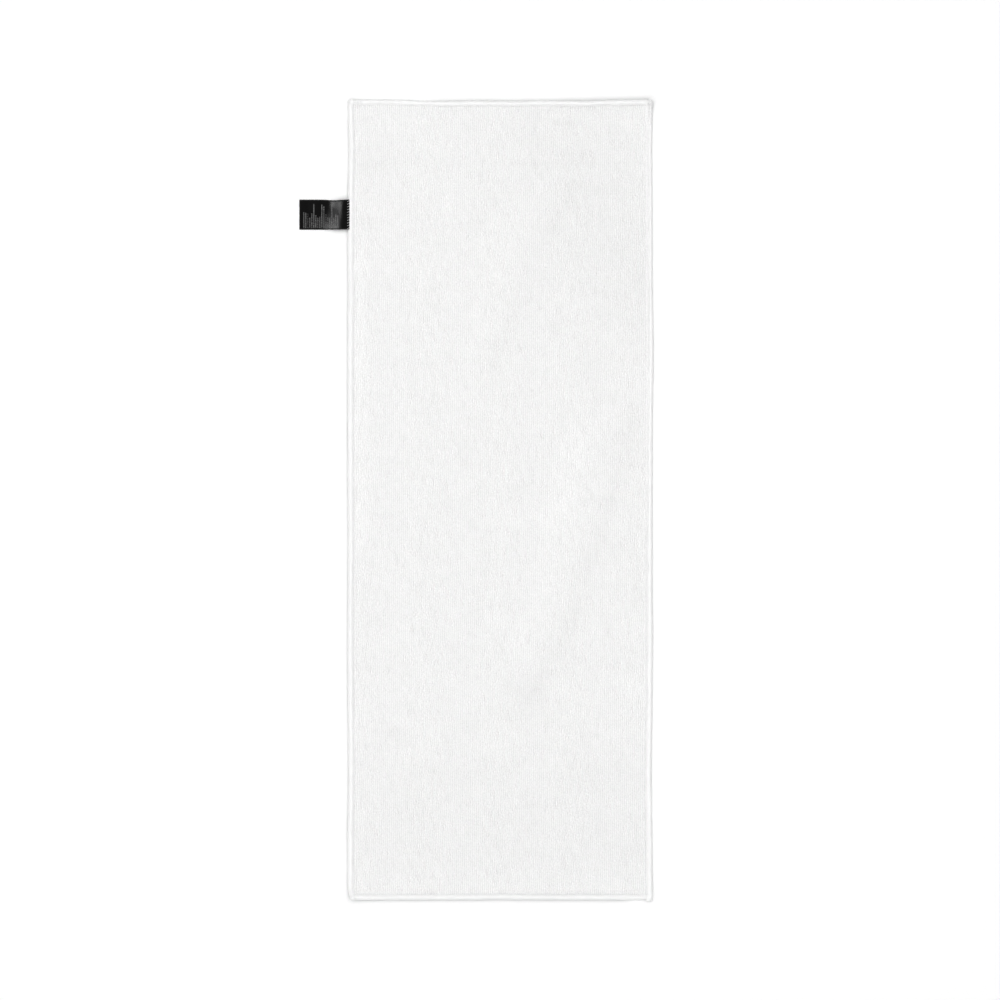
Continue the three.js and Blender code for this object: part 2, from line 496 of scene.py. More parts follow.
@dataclass(frozen=True)
class HemFinish:
    """The smooth ground of the same cloth, turned outwards in the hems. Two stretches are still looped."""

    cloth: Colour = (0.887, 0.887, 0.887, 1.0)
    looped: Colour = (0.85, 0.85, 0.85, 1.0)
    surface: Surface = Surface(roughness=0.85, specular=0.2, sheen=0.1)

    def material(self) -> bpy.types.Material:
        """Makes the material. It reads the mark looped from the mesh."""
        material, canvas, shader = self.surface.open("hem_ground_cloth")
        place = canvas.add("ShaderNodeTexCoord").outputs["Object"]
        looped = canvas.mark("looped")
        loops = LOOP_PILE.place(canvas, Place=place, Contrast=0.4, Mottle_Length=3.4 * MM)
        weave = WOVEN_GRID.place(canvas, Run=place, Warp=0.55 * MM, Weft=0.55 * MM)
        fuzz = FIBRE_FUZZ.place(canvas, Place=place)
        clouds = SOFT_CLOUDS.place(canvas, Place=place, Size=14 * MM, Contrast=0.05)
        # The looped stretches take the loops' tone, with its painted shade between the loops.
        looped_with_gap_shade = canvas.shade(self.looped, loops["Tone"])
        colour = canvas.mix(looped, self.cloth, looped_with_gap_shade)
        canvas.feed(shader.inputs["Base Color"], canvas.shade(colour, clouds["Tone"]))
        yarns = canvas.math("MULTIPLY", weave["Height"], 0.4)
        smooth = canvas.math("MULTIPLY_ADD", fuzz["Height"], 0.5, yarns)
        lofty = canvas.math("MULTIPLY", loops["Height"], looped)
        raise_relief(canvas, shader, canvas.math("ADD", smooth, lofty), 0.2 * MM, 0.6)
        return material


@dataclass(frozen=True)
class ThreadFinish:
    """A spun thread of one colour, with its twist."""

    name: str
    colour: Colour
    pitch: float = 0.6 * MM
    surface: Surface = Surface(roughness=0.6, specular=0.35, sheen=0.1)

    def material(self) -> bpy.types.Material:
        """Makes the material. It reads the map named run from the mesh."""
        material, canvas, shader = self.surface.open(self.name)
        run = canvas.add("ShaderNodeUVMap", uv_map="run").outputs[0]
        twist = PLY_TWIST.place(canvas, Run=run, Ply_Pitch=self.pitch)
        place = canvas.add("ShaderNodeTexCoord").outputs["Object"]
        fuzz = FIBRE_FUZZ.place(canvas, Place=place, Fibre_Width=0.06 * MM, Fibre_Length=0.4 * MM)
        # The twist's tone paints shade between the plies.
        tone = canvas.math("MULTIPLY", twist["Tone"], canvas.around_one(fuzz["Tone"], 0.3))
        canvas.feed(shader.inputs["Base Color"], canvas.shade(self.colour, tone))
        height = canvas.math("MULTIPLY_ADD", fuzz["Height"], 0.4, twist["Height"])
        raise_relief(canvas, shader, height, 0.06 * MM, 0.8)
        return material


@dataclass(frozen=True)
class SatinFinish:
    """Black satin ribbon with rows of pale dashes where the care print would be."""

    ground: Colour = (0.006, 0.006, 0.0065, 1.0)
    ink: Colour = (0.23, 0.23, 0.23, 1.0)
    surface: Surface = Surface(roughness=0.2, specular=1.0, anisotropic=0.2)

    def material(self) -> bpy.types.Material:
        """Makes the material. It reads the map named run and the mark print_reach from the mesh."""
        material, canvas, shader = self.surface.open("black_label_satin")
        run = canvas.add("ShaderNodeUVMap", uv_map="run").outputs[0]
        weave = WOVEN_GRID.place(canvas, Run=run, Warp=0.24 * MM, Weft=0.5 * MM)
        clouds = SOFT_CLOUDS.place(canvas, Place=run, Size=9 * MM, Contrast=0.3)
        rows = PRINT_ROWS.place(canvas, Run=run, Reach=canvas.mark("print_reach"))
        ground = canvas.shade(self.ground, clouds["Tone"])
        canvas.feed(shader.inputs["Base Color"], canvas.mix(rows["Mask"], ground, self.ink))
        wear = canvas.math("MULTIPLY_ADD", rows["Mask"], 0.3, canvas.math("MULTIPLY", clouds["Tone"], 0.2))
        canvas.feed(shader.inputs["Roughness"], wear)
        raise_relief(canvas, shader, weave["Height"], 0.03 * MM, 0.1)
        return material


# Mesh helpers


@dataclass
class Shell:
    """A closed surface on its way to becoming a piece."""

    vertices: np.ndarray
    faces: list[list[int]]
    corners: list[list[Point]] | None = None
    marks: dict[str, np.ndarray] = field(default_factory=dict)

    def volume(self) -> float:
        """Returns the signed volume, positive where the faces look out."""
        first, second, third = [], [], []
        for face in self.faces:
            for k in range(1, len(face) - 1):
                first.append(face[0])
                second.append(face[k])
                third.append(face[k + 1])
        a, b, c = (self.vertices[index] for index in (first, second, third))
        return float(np.einsum("ij,ij->i", a, np.cross(b, c)).sum() / 6)

    def facing_out(self) -> "Shell":
        """Returns the shell with its faces looking out."""
        if self.volume() < 0:
            self.faces = [face[::-1] for face in self.faces]
            if self.corners:
                self.corners = [corner[::-1] for corner in self.corners]
        return self

    def piece(self, name: str, material: bpy.types.Material) -> bpy.types.Object:
        """Makes the shell a shown object.

        Args:
            name: the piece's name.
            material: its finish.

        Returns:
            The new object, linked to the scene.
        """
        self.facing_out()
        mesh = bpy.data.meshes.new(name)
        mesh.from_pydata(self.vertices.tolist(), [], self.faces)
        mesh.polygons.foreach_set("use_smooth", np.ones(len(self.faces), bool))
        for mark, values in self.marks.items():
            layer = mesh.attributes.new(mark, "FLOAT", "POINT")
            layer.data.foreach_set("value", np.asarray(values, np.float32).ravel())
        if self.corners:
            flat = [number for face in self.corners for corner in face for number in corner]
            mesh.uv_layers.new(name="run").data.foreach_set("uv", np.array(flat, np.float32))
        mesh.materials.append(material)
        mesh.validate()
        mesh.update()
        made = bpy.data.objects.new(name, mesh)
        bpy.context.scene.collection.objects.link(made)
        return made


def joined(shells: list[Shell]) -> Shell:
    """Puts several shells with the same kind of map together as one."""
    vertices, faces, corners, first = [], [], [], 0
    for shell in shells:
        shell.facing_out()
        vertices.append(shell.vertices)
        faces += [[first + index for index in face] for face in shell.faces]
        corners += shell.corners or []
        first += len(shell.vertices)
    return Shell(np.concatenate(vertices), faces, corners or None)


def swept(rings: np.ndarray) -> Shell:
    """Joins a row of equal closed rings into a tube with closed ends.

    Args:
        rings: points as (station, place round the ring, xyz).

    Returns:
        The tube. Its map's U is the distance along the stations and V goes once round.
    """
    stations, around, _ = rings.shape
    centres = rings.mean(axis=1)
    run = np.concatenate([[0.0], np.cumsum(np.linalg.norm(np.diff(centres, axis=0), axis=1))])
    i, j = (grid.ravel() for grid in np.meshgrid(np.arange(stations - 1), np.arange(around), indexing="ij"))
    here, ahead, beside = i * around, (i + 1) * around, (j + 1) % around
    quads = np.stack([here + j, here + beside, ahead + beside, ahead + j], 1)
    u = np.stack([run[i], run[i], run[i + 1], run[i + 1]], 1)
    v = np.stack([j, j + 1, j + 1, j], 1) / around
    ends = [list(range(around))[::-1], list(range((stations - 1) * around, stations * around))]
    corners = np.stack([u, v], 2).tolist()
    first, last = ([(end, k / around) for k in range(around)] for end in (run[0], run[-1]))
    corners += [first[::-1], last]
    return Shell(rings.reshape(-1, 3), quads.tolist() + ends, corners)


def tube(path: np.ndarray, radius: float, sides: int) -> Shell:
    """Sweeps a round section along a path that lies roughly flat.

    Args:
        path: the centre line as (station, xyz).
        radius: the section's radius.
        sides: how many sides the section has.

    Returns:
        The closed tube.
    """
    ahead = np.gradient(path, axis=0)
    ahead /= np.linalg.norm(ahead, axis=1)[:, None]
    sideways = np.cross(ahead, [0.0, 0.0, 1.0])
    sideways /= np.linalg.norm(sideways, axis=1)[:, None]
    upwards = np.cross(sideways, ahead)
    turn = np.arange(sides) * TURN / sides
    ring = np.cos(turn)[None, :, None] * sideways[:, None] + np.sin(turn)[None, :, None] * upwards[:, None]
    return swept(path[:, None] + radius * ring)


def smooth_step(value: np.ndarray) -> np.ndarray:
    """Rises smoothly from 0 to 1."""
    t = np.clip(value, 0.0, 1.0)
    return t * t * (3 - 2 * t)


@dataclass(frozen=True)
class SoftNoise:
    """Smooth seeded noise made of plane waves near one size, with a spread of about 1."""

    seed: int
    size_x: float
    size_y: float
    waves: int = 16

    def at(self, x: np.ndarray, y: np.ndarray) -> np.ndarray:
        """Returns the noise at each place.

        Args:
            x: places across the towel.
            y: places along it.

        Returns:
            One value for each place.
        """
        draw = np.random.default_rng(self.seed)
        total = np.zeros(np.broadcast(x, y).shape)
        for _ in range(self.waves):
            angle, length, phase = draw.uniform(0, TURN), draw.uniform(0.7, 1.6), draw.uniform(0, TURN)
            run = (x * math.cos(angle) / self.size_x + y * math.sin(angle) / self.size_y) / length
            total += np.cos(TURN * run + phase)
        return total / math.sqrt(self.waves / 2)


# How the cloth lies


@dataclass(frozen=True)
class SoftFold:
    """A low ridge, crease or patch of painted shade and light, partly leaning pile, along a route on the
    cloth.

    rise is its height, below 0 for a crease; tone is how much lighter the pile's colour is painted along it:
    painted shade in creases and on the shaded sides of ridges, painted light on their lit sides, partly the
    pile's lay.
    """

    route: tuple[Point, ...]
    reach: float
    rise: float = 0.0
    tone: float = 0.0

    def weight(self, x: np.ndarray, y: np.ndarray) -> np.ndarray:
        """Returns 1 on the route, falling smoothly to 0 beside it.

        Args:
            x: places across the towel, in metres.
            y: places along it.

        Returns:
            The weight at each place.
        """
        nearest = np.full(np.broadcast(x, y).shape, np.inf)
        for (ax, ay), (bx, by) in zip(self.route, self.route[1:] or self.route):
            dx, dy = (bx - ax) * MM, (by - ay) * MM
            length = dx * dx + dy * dy
            share = np.zeros_like(nearest)
            if length:
                share = np.clip(((x - ax * MM) * dx + (y - ay * MM) * dy) / length, 0, 1)
            gap = np.hypot(x - ax * MM - share * dx, y - ay * MM - share * dy)
            nearest = np.minimum(nearest, gap)
        return np.exp(-((nearest / self.reach) ** 2))


@dataclass(frozen=True)
class EdgeWave:
    """A stretch of an edge that lies outside (above 0) or inside its straight line."""

    centre: float
    reach: float
    shift: float

    def at(self, along: np.ndarray) -> np.ndarray:
        """Returns the shift at each place along the edge."""
        return self.shift * MM * np.exp(-(((along - self.centre * MM) / (self.reach * MM)) ** 2))


@dataclass(frozen=True)
class ClothForm:
    """How the whole towel lies: where its edges wander, and where the cloth stands off the table.

    Routes, centres, reaches and shifts are in millimetres in the towel's own frame.
    """

    half_width: float
    half_length: float
    air: float = 0.5 * MM
    slack: float = 0.1 * MM
    # Each fold's tone lightens or darkens the pile's colour along it: painted shade in the creases and on the
    # shaded sides of ridges, painted light on their lit sides, partly the pile's lay; the broad ones make it
    # darker over the bottom end and the top right and lighter along the left edge.
    folds: tuple[SoftFold, ...] = (
        SoftFold(((-182, 420), (-60, 423), (70, 419), (182, 421)), 3.5 * MM, rise=-0.3 * MM, tone=-0.012),
        SoftFold(((162, 96), (147, 28), (106, -91), (72, -197), (37, -247)), 13 * MM, tone=-0.016),
        SoftFold(((120, 90), (95, 0), (70, -80), (30, -180)), 20 * MM, rise=0.7 * MM, tone=0.006),
        SoftFold(((37, -247),), 22 * MM, rise=-0.2 * MM, tone=-0.012),
        SoftFold(((94, 390), (41, 296), (31, 261), (-12, 159)), 12 * MM, tone=-0.011),
        SoftFold(((60, 400), (5, 290), (-45, 160)), 18 * MM, rise=0.5 * MM, tone=0.004),
        SoftFold(((-172, 320), (-172, -50)), 9 * MM, rise=0.3 * MM, tone=0.016),
        SoftFold(((91, 71), (72, -16)), 19 * MM, tone=0.012),
        SoftFold(((172, -234),), 15 * MM, rise=0.4 * MM, tone=0.016),
        SoftFold(((-110, -420), (120, -421)), 120 * MM, tone=-0.012),
        SoftFold(((80, 430), (180, 260)), 80 * MM, tone=-0.016),
        SoftFold(((-70, 500), (188, 500)), 12 * MM, rise=1.9 * MM),
        SoftFold(((90, 500), (184, 500)), 12 * MM, rise=1.7 * MM),
        SoftFold(((-180, -500), (150, -500)), 11 * MM, rise=2.3 * MM),
        SoftFold(((-187, -497),), 12 * MM, rise=1.0 * MM),
        SoftFold(((-190, 470), (-190, -480)), 7 * MM, rise=0.9 * MM),
        SoftFold(((185, 495.5), (179.5, 486)), 1.3 * MM, rise=0.7 * MM, tone=0.01),
    )
    waves: dict[Edge, tuple[EdgeWave, ...]] = field(
        default_factory=lambda: {
            Edge.LEFT: (
                EdgeWave(435, 42, -1.7),
                EdgeWave(262, 22, -0.7),
                EdgeWave(-60, 60, -0.7),
                EdgeWave(-330, 75, -1.0),
                EdgeWave(-415, 16, 0.6),
                EdgeWave(-500, 9, -2.4),
            ),
            Edge.RIGHT: (
                EdgeWave(430, 32, -0.6),
                EdgeWave(186, 62, 1.4),
                EdgeWave(-168, 36, 0.6),
                EdgeWave(-345, 62, -1.2),
                EdgeWave(-485, 20, 0.6),
            ),
            Edge.TOP: (
                EdgeWave(0, 600, -1.6),
                EdgeWave(-70, 42, -2.3),
                EdgeWave(15, 48, -2.2),
                EdgeWave(100, 34, -2.3),
                EdgeWave(155, 40, -0.9),
            ),
            Edge.BOTTOM: (
                EdgeWave(0, 600, -0.7),
                EdgeWave(-165, 14, 0.4),
                EdgeWave(-5, 25, -0.5),
                EdgeWave(170, 25, 0.7),
            ),
        }
    )
    side_ease: float = 7.0
    end_ease: float = 12.0

    def outward(self, edge: Edge, along: np.ndarray) -> np.ndarray:
        """Returns how far outside its straight line an edge lies.

        Args:
            edge: which edge.
            along: places along it.

        Returns:
            The shift at each place, in metres.
        """
        return self.slack + sum(wave.at(along) for wave in self.waves[edge])

    def lift(self, x: np.ndarray, y: np.ndarray) -> np.ndarray:
        """Returns how far the cloth stands off the table at each place."""
        inside = 1 - np.maximum(np.abs(x) / self.half_width, np.abs(y) / self.half_length) ** 10
        raised = self.air * np.clip(inside, 0, 1) + sum(fold.rise * fold.weight(x, y) for fold in self.folds)
        return np.maximum(raised, 0.0)

    def nap_and_fold_shade(self, x: np.ndarray, y: np.ndarray) -> np.ndarray:
        """Returns the pile's painted tone at each place: painted shade and light of the folds and creases,
        partly the pile's lay; 1 where none is painted.
        """
        return 1 + sum(fold.tone * fold.weight(x, y) for fold in self.folds)

    def lay(self, points: np.ndarray) -> np.ndarray:
        """Lays flat points on the table.

        Args:
            points: places on the flat cloth, as (..., xyz).

        Returns:
            The same points where they lie.
        """
        x, y, z = points[..., 0], points[..., 1], points[..., 2]
        sides = np.where(x < 0, self.outward(Edge.LEFT, y), self.outward(Edge.RIGHT, y))
        ends = np.where(y < 0, self.outward(Edge.BOTTOM, x), self.outward(Edge.TOP, x))
        across = np.minimum(np.abs(x) / self.half_width, 1.0) ** self.side_ease
        along = np.minimum(np.abs(y) / self.half_length, 1.0) ** self.end_ease
        laid = (x + np.sign(x) * across * sides, y + np.sign(y) * along * ends, z + self.lift(x, y))
        return np.stack(laid, axis=-1)


# The pieces


@dataclass
class TerryCloth:
    """The towel's cloth between the hems: one closed slab with real ribs on its back."""

    form: ClothForm
    thickness: float
    half_width: float
    half_length: float
    rows: int = 136
    close_row: float = 1.2 * MM
    back_step: int = 4
    hidden: float = 2.2 * MM
    press_reach: float = 1.6 * MM
    broad_lean: float = 0.22 * MM
    fine_lean: float = 0.15 * MM
    crown: float = 0.06 * MM
    back_edge: float = 0.3 * MM

    def columns(self) -> int:
        """Returns the number of steps across, a whole number of ribs."""
        return round(2 * self.half_width / RIB_PITCH) * RIB_STEPS

    def flat_top(self) -> tuple[np.ndarray, np.ndarray]:
        """Draws the ribbed face on the flat cloth.

        Returns:
            The points as (row, column, xyz), and how high in its rib each one is, from 0 to 1, which sets the
            painted shade in the grooves.
        """
        columns = self.columns()
        close = np.arange(4) * self.close_row
        inner = self.half_length - 4 * self.close_row
        between = np.linspace(-inner, inner, self.rows + 1)
        lengthwise = np.concatenate([close - self.half_length, between, self.half_length - close[::-1]])
        x, y = np.meshgrid(np.linspace(-self.half_width, self.half_width, columns + 1), lengthwise)
        edge_gap = np.minimum(self.half_width - np.abs(x), self.half_length - np.abs(y))
        inside = smooth_step((edge_gap - self.hidden) / self.press_reach)
        phase = np.arange(columns + 1) / RIB_STEPS
        height = 0.5 - 0.5 * np.cos(TURN * phase)[None, :] * np.ones_like(x)
        broad, fine = SoftNoise(11, 34 * MM, 26 * MM).at(x, y), SoftNoise(12, 9 * MM, 12 * MM).at(x, y)
        lean = self.broad_lean * broad + self.fine_lean * fine
        lively = np.clip(1 + 0.4 * SoftNoise(13, 10 * MM, 12 * MM).at(x, y), 0.25, 1.7) * inside
        crown = self.crown * SoftNoise(14, 6 * MM, 18 * MM).at(x, y)
        rib = (height - 0.5) * lively
        z = self.thickness + RIB_DEPTH * (rib - 0.5 * inside) + crown * inside
        return np.stack([x + lean * inside, y, z], axis=-1), 0.5 + rib + 0.4 * (1 - inside)

    def build(self, finish: TerryFinish) -> bpy.types.Object:
        """Builds the slab.

        Args:
            finish: the pile's finish.

        Returns:
            The piece.
        """
        top, height = self.flat_top()
        rows, columns = top.shape[0] - 1, top.shape[1] - 1
        step = self.back_step
        back_rows, back_columns = np.arange(0, rows + 1, step), np.arange(0, columns + 1, step)
        back = top[np.ix_(back_rows, back_columns)].copy()
        back[..., 2] = 0.0
        for side in (0, -1):
            back[side, :, 2] = self.back_edge
            back[:, side, 2] = self.back_edge
        laid_top, laid_back = self.form.lay(top), self.form.lay(back)
        index = np.arange((rows + 1) * (columns + 1)).reshape(rows + 1, columns + 1)
        under = index.size + np.arange(back[..., 0].size).reshape(len(back_rows), len(back_columns))
        upper = [index[:-1, :-1], index[:-1, 1:], index[1:, 1:], index[1:, :-1]]
        lower = [under[:-1, :-1], under[1:, :-1], under[1:, 1:], under[:-1, 1:]]
        faces = [face for quads in (upper, lower) for face in np.stack(quads, -1).reshape(-1, 4).tolist()]
        faces += self.wall(index[0, ::-1], under[0, ::-1]) + self.wall(index[-1], under[-1])
        faces += self.wall(index[:, 0], under[:, 0]) + self.wall(index[::-1, -1], under[::-1, -1])
        vertices = np.concatenate([laid_top.reshape(-1, 3), laid_back.reshape(-1, 3)])
        rest = np.full(back[..., 0].size, 0.8)
        # Painted shade and light of the folds and creases, partly the pile's lay.
        nap_and_fold_shade = self.form.nap_and_fold_shade(top[..., 0], top[..., 1]).ravel()
        marks = {
            # Painted shade: this mark darkens the pile's colour in the grooves between the ribs.
            "groove_shade_height": np.concatenate([height.ravel(), rest]),
            "nap_and_fold_shade": np.concatenate([nap_and_fold_shade, np.ones(rest.size)]),
        }
        return Shell(vertices, faces, marks=marks).piece("terry_cloth", finish.material())

    def wall(self, upper: np.ndarray, lower: np.ndarray) -> list[list[int]]:
        """Joins one edge of the fine face to the same edge of the plain one.

        Args:
            upper: the fine edge's vertices.
            lower: the plain edge's vertices, one for every back_step of the others.

        Returns:
            The wall's faces.
        """
        step = self.back_step
        return [
            [int(lower[k]), *(int(i) for i in upper[k * step : (k + 1) * step + 1]), int(lower[k + 1])]
            for k in range(len(lower) - 1)
        ]


@dataclass
class Hem:
    """One edge of the cloth, turned over towards the back and sewn down."""

    form: ClothForm
    edge: Edge
    height: float
    lip_low: float = 6.9 * MM
    lip_high: float = 6.9 * MM
    roll_low: float = 3.0 * MM
    roll_high: float = 3.0 * MM
    under_roll: float = 1.7 * MM
    widest: float = 0.32
    looped: tuple[float, float, float] | None = None
    overrun: float = 0.0
    low_radius: float = 2.2 * MM
    high_radius: float = 4.0 * MM
    rounding: float = 1.6 * MM
    crossing_reach: float = 7.6 * MM
    crossing_fade: float = 2.6 * MM
    seam_dip: float = 0.14 * MM
    flap_dip: float = 0.45 * MM
    under_dip: float = 0.95 * MM
    hole_dip: float = 0.07 * MM
    top_crossing: float = 0.75 * MM
    seam_crossing: float = 0.71 * MM
    flap_crossing: float = 1.0 * MM
    under_crossing: float = 1.1 * MM

    @property
    def half_run(self) -> float:
        """Half the hem's length: side hems take the corners, and end hems pass under them."""
        return self.form.half_length if self.edge.is_side else self.form.half_width - HEM_MOUTH - 0.2 * MM

    def share_at(self, along: np.ndarray) -> np.ndarray:
        """Returns 0 at the hem's low end, rising smoothly to 1 at its high end."""
        return smooth_step((along / self.half_run + 1) / 2)

    def lip_at(self, along: np.ndarray) -> np.ndarray:
        """Returns how far inside the outer edge the turned cloth ends, at each place along the hem."""
        share = self.share_at(along)
        waver = 0.16 * MM * SoftNoise(30 + self.edge.sign, 40 * MM, 40 * MM).at(along, 0 * along)
        scallop = 0.07 * MM * np.cos(TURN * along / STITCH_PITCH)
        return self.lip_low + (self.lip_high - self.lip_low) * share + waver + scallop

    def crossing_at(self, along: np.ndarray) -> np.ndarray:
        """Returns 1 at the ends of a side hem, where it lies on the end hems, and 0 away from them."""
        gap = self.half_run - np.abs(along)
        return smooth_step((self.crossing_reach - gap) / self.crossing_fade) if self.edge.is_side else 0 * gap

    def seam_height(self, along: np.ndarray) -> np.ndarray:
        """Returns the height of the cloth in the seam's dip."""
        return self.height - self.seam_dip + self.seam_crossing * self.crossing_at(along)

    def section(self, along: np.ndarray) -> np.ndarray:
        """Draws the folded section at each place along the hem.

        Args:
            along: the places.

        Returns:
            Points as (place, point of the section, inset and height).
        """
        lip = self.lip_at(along)
        seam = lip - SEAM_INSET
        crossing = self.crossing_at(along)
        puffed = 0.06 * MM * SoftNoise(40, 16 * MM, 16 * MM).at(along, 0 * along)
        top = self.height + puffed + self.top_crossing * crossing
        hole = np.cos(TURN * along / STITCH_PITCH)
        dip = self.seam_height(along) - self.hole_dip * (0.5 + 0.5 * hole)
        flap = self.height - self.flap_dip + self.flap_crossing * crossing
        under = self.height - self.under_dip + self.under_crossing * crossing
        outer = self.roll_low + (self.roll_high - self.roll_low) * self.share_at(along)
        columns = []
        for angle in np.radians([-90, -60, -30, 0]):
            drop = self.widest * (1 + math.sin(angle))
            columns.append((self.under_roll * (1 - math.cos(angle)) + 0 * lip, top * drop))
        for share in (0.04, 0.12, 0.25, 0.4, 0.58, 0.78, 1.0):
            columns.append((outer * share, top * (1 - (1 - self.widest) * (1 - share) ** 1.5)))
        for share, rise in ((0.25, 1.0), (0.55, 1.0), (0.85, 0.975)):
            level = top * rise - 0.03 * MM * (0.5 + 0.5 * hole)
            columns.append((outer + share * (seam - 0.35 * MM - outer), level))
        columns += [(seam - 0.3 * MM, (dip + 2 * top) / 3), (seam, dip), (seam + 0.3 * MM, (dip + flap) / 2)]
        columns += [(lip - 0.5 * MM, flap), (lip - 0.12 * MM, flap - 0.1 * MM), (lip, (flap + under) / 2)]
        columns += [(lip - 0.2 * MM, under), (HEM_MOUTH + 0 * lip, under), (HEM_MOUTH + 0 * lip, 0 * lip)]
        columns += [(0.5 * (self.under_roll + HEM_MOUTH) + 0 * lip, 0 * lip)]
        return np.stack([np.stack(column, -1) for column in columns], axis=1)

    def stations(self) -> np.ndarray:
        """Returns the places along the hem: four for each stitch, and closer at the two rounded ends."""
        close = np.array([0, 0.08, 0.25, 0.5, 0.85, 1.3, 1.85, 2.5]) * MM
        inner = self.half_run - 3.0 * MM
        count = round(2 * inner / STITCH_PITCH * 4)
        even = np.linspace(-inner, inner, count)
        return np.concatenate([close - self.half_run, even, self.half_run - close[::-1]])

    def flat(self, along: np.ndarray, inset: np.ndarray, height: np.ndarray) -> np.ndarray:
        """Turns places on the hem into places on the flat cloth.

        Args:
            along: places along the edge.
            inset: distances inside the outer edge.
            height: heights.

        Returns:
            Points as (..., xyz).
        """
        out = self.form.half_width if self.edge.is_side else self.form.half_length
        across = self.edge.sign * (out - inset)
        return np.stack((across, along, height) if self.edge.is_side else (along, across, height), axis=-1)

    def build(self, finish: bpy.types.Material) -> bpy.types.Object:
        """Builds the hem as one closed swept fold.

        Args:
            finish: the hem's material.

        Returns:
            The piece.
        """
        along = self.stations()
        section = self.section(along)
        inset, height = section[..., 0], section[..., 1]
        gap = self.half_run - np.abs(along)
        open_share = np.sqrt(1 - (1 - np.minimum(gap, self.rounding) / self.rounding) ** 2)
        middle = 0.5 * self.height
        height = middle + (height - middle) * (0.35 + 0.65 * open_share)[:, None]
        if self.edge.is_side:
            radius = np.where(along < 0, self.low_radius, self.high_radius)
            cut = radius - np.sqrt(radius**2 - np.maximum(radius - gap, 0) ** 2)
            inset = inset + cut[:, None] * np.clip(1 - inset / self.lip_low, 0, 1)
        spread = along[:, None] + 0 * inset
        low_end = smooth_step((-along - self.half_run + 12 * MM) / (12 * MM))
        spread = spread - (self.overrun * low_end)[:, None]
        shell = swept(self.form.lay(self.flat(spread, inset, height)))
        shell.corners = None
        shell.marks["looped"] = (self.looped_at(along)[:, None] + 0 * inset).ravel()
        return shell.piece(f"{self.edge.value}_hem_fold", finish)

    def looped_at(self, along: np.ndarray) -> np.ndarray:
        """Returns 1 where the hem's cloth still shows its loops, and 0 where it is smooth."""
        if self.looped is None:
            return 0 * along
        start, end, fade = self.looped
        return smooth_step((along - start) / fade + 1) * smooth_step((end - along) / fade + 1)


@dataclass
class Seam:
    """One thread of the lockstitch that holds a hem, dipping into the cloth at every needle hole."""

    hem: Hem
    layer: Layer
    radius: float = 0.17 * MM
    end_gap: float = 5.0 * MM

    def build(self, finish: bpy.types.Material) -> bpy.types.Object:
        """Builds the thread as one wavy tube.

        Args:
            finish: the thread's material.

        Returns:
            The piece.
        """
        reach = self.hem.half_run - self.end_gap
        stitches = int(2 * reach / STITCH_PITCH / 2) * 2
        steps = np.array([0, 0.07, 0.18, 0.38, 0.62, 0.82, 0.93])
        share = (np.arange(stitches)[:, None] + steps[None, :]).ravel()
        along = (share - stitches / 2) * STITCH_PITCH
        phase = share % 1
        hole_gap = np.minimum(phase, 1 - phase) * STITCH_PITCH
        dive = 0.5 * MM * np.exp(-((hole_gap / (0.24 * MM)) ** 2))
        inset = self.hem.lip_at(along) - SEAM_INSET
        if self.layer is Layer.NEEDLE:
            height = self.hem.seam_height(along) + 0.1 * MM - dive
        else:
            height = self.radius + 0.03 * MM + dive
        path = self.hem.form.lay(self.hem.flat(along, inset, height))
        return tube(path, self.radius, 6).piece(f"{self.hem.edge.value}_{self.layer.value}_stitches", finish)


